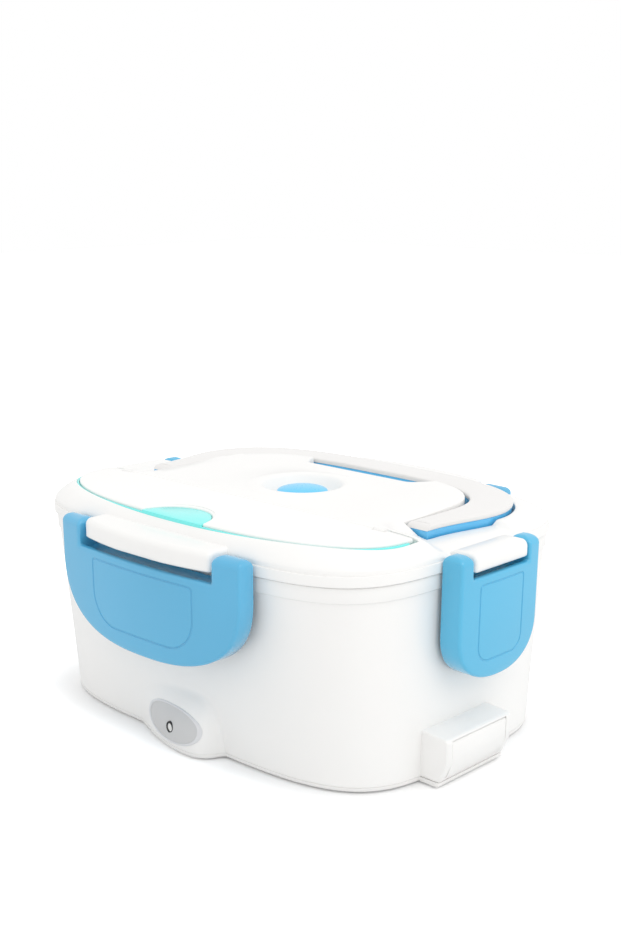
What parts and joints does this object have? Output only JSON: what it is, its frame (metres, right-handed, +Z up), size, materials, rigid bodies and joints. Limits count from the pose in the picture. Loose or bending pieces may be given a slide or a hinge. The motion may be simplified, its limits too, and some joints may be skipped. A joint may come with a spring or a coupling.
{
  "type": "electric lunch box",
  "caption": "Heated lunch box: a tapered base with a heated well and power inlet, and a lift-off lid with hinged latches, a folding handle, a spoon compartment and a steam vent.",
  "frame": {"origin": "middle of the underside, on the surface that the feet stand on", "axes": "+X along the box towards the end with the power inlet, +Y to the back, away from the lamp, +Z up"},
  "size_m": [0.24, 0.1954, 0.108],
  "materials": {
    "shell_white": "glossy white ABS",
    "cover_white": "glossy white ABS",
    "base_white": "satin white ABS",
    "latch_blue": "glossy light blue",
    "latch_sky": "glossy sky blue",
    "handle_blue": "glossy light blue",
    "handle_skin": "glossy warm light grey",
    "tray_aqua": "glossy pale aqua",
    "vent_blue": "glossy sky blue",
    "badge_grey": "satin grey with a lighter rim",
    "lamp_amber": "clear ring lamp",
    "dish_clear": "milky food-grade plastic",
    "dish_aqua": "pale aqua food-grade plastic",
    "liner_grey": "satin heat-proof plastic",
    "plate_metal": "brushed",
    "steel": "brushed",
    "heater_dark": "matte",
    "foot_rubber": "matte",
    "silicone": "matte translucent silicone",
    "board_green": "matte",
    "wire_red": "matte",
    "socket_black": "matte"
  },
  "bodies": {
    "base": {"outer_housing": "shell_white", "bottom_cover": "base_white", "cover_screws": "steel", "rubber_feet": "foot_rubber", "inner_liner": "liner_grey", "heating_plate": "plate_metal", "ptc_heaters": "heater_dark", "heater_clamp": "steel", "thermostat": "steel", "thermal_fuse": "liner_grey", "wiring": "wire_red", "inlet_socket": "socket_black", "inlet_pins": "steel", "inlet_flap_pin": "steel", "indicator_badge": "badge_grey", "indicator_lens": "lamp_amber", "lamp_board": "board_green"},
    "lid": {"lid_shell": "shell_white", "lid_liner": "liner_grey", "lid_seal": "silicone", "spoon_tray": "tray_aqua"},
    "spoon_cover": {"spoon_cover": "cover_white"},
    "spoon": {"spoon": "steel"},
    "vent": {"vent_plug": "vent_blue", "vent_gasket": "silicone"},
    "handle": {"handle_core": "handle_blue", "handle_cover": "handle_skin"},
    "latch_front": {"latch_front": "latch_blue"},
    "latch_back": {"latch_back": "latch_blue"},
    "latch_left": {"latch_left": "latch_sky"},
    "latch_right": {"latch_right": "latch_sky"},
    "inlet_flap": {"inlet_flap": "shell_white"},
    "food_container": {"food_container": "dish_clear"},
    "side_tray": {"side_tray": "dish_aqua"},
    "side_tray_lid": {"side_tray_lid": "dish_aqua"}
  },
  "joints": [
    {"name": "lid_lift", "type": "slide", "parent": "base", "child": "lid", "axis": [0, 0, 1], "range_m": [0, 0.18]},
    {"name": "spoon_cover_hinge", "type": "hinge", "parent": "lid", "child": "spoon_cover", "pos_m": [0, -0.0336, 0.1057], "axis": [-1, 0, 0], "range_deg": [0, 90]},
    {"name": "spoon_slide", "type": "slide", "parent": "lid", "child": "spoon", "axis": [-1, 0, 0], "range_m": [0, 0.01]},
    {"name": "vent_lift", "type": "slide", "parent": "lid", "child": "vent", "axis": [0, 0, 1], "range_m": [0, 0.006]},
    {"name": "handle_hinge", "type": "hinge", "parent": "lid", "child": "handle", "pos_m": [0, -0.008, 0.1016], "axis": [1, 0, 0], "range_deg": [0, 90]},
    {"name": "latch_front_hinge", "type": "hinge", "parent": "lid", "child": "latch_front", "pos_m": [0, -0.0886, 0.0966], "axis": [-1, 0, 0], "range_deg": [0, 110]},
    {"name": "latch_back_hinge", "type": "hinge", "parent": "lid", "child": "latch_back", "pos_m": [0, 0.0886, 0.0966], "axis": [1, 0, 0], "range_deg": [0, 110]},
    {"name": "latch_right_hinge", "type": "hinge", "parent": "lid", "child": "latch_right", "pos_m": [0.1129, 0, 0.0966], "axis": [0, -1, 0], "range_deg": [0, 110]},
    {"name": "latch_left_hinge", "type": "hinge", "parent": "lid", "child": "latch_left", "pos_m": [-0.1129, 0, 0.0966], "axis": [0, 1, 0], "range_deg": [0, 110]},
    {"name": "inlet_flap_hinge", "type": "hinge", "parent": "base", "child": "inlet_flap", "pos_m": [0.1176, -0.0105, 0.0203], "axis": [0, -1, 0], "range_deg": [0, 90]},
    {"name": "container_lift", "type": "slide", "parent": "base", "child": "food_container", "axis": [0, 0, 1], "range_m": [0, 0.07]},
    {"name": "tray_lift", "type": "slide", "parent": "food_container", "child": "side_tray", "axis": [0, 0, 1], "range_m": [0, 0.05]},
    {"name": "tray_lid_lift", "type": "slide", "parent": "side_tray", "child": "side_tray_lid", "axis": [0, 0, 1], "range_m": [0, 0.02]}
  ],
  "couplings": [
    {"joint": "container_lift", "follows": "lid_lift", "ratio": 0.38889},
    {"joint": "tray_lift", "follows": "lid_lift", "ratio": 0.27778},
    {"joint": "tray_lid_lift", "follows": "lid_lift", "ratio": 0.11111}
  ]
}
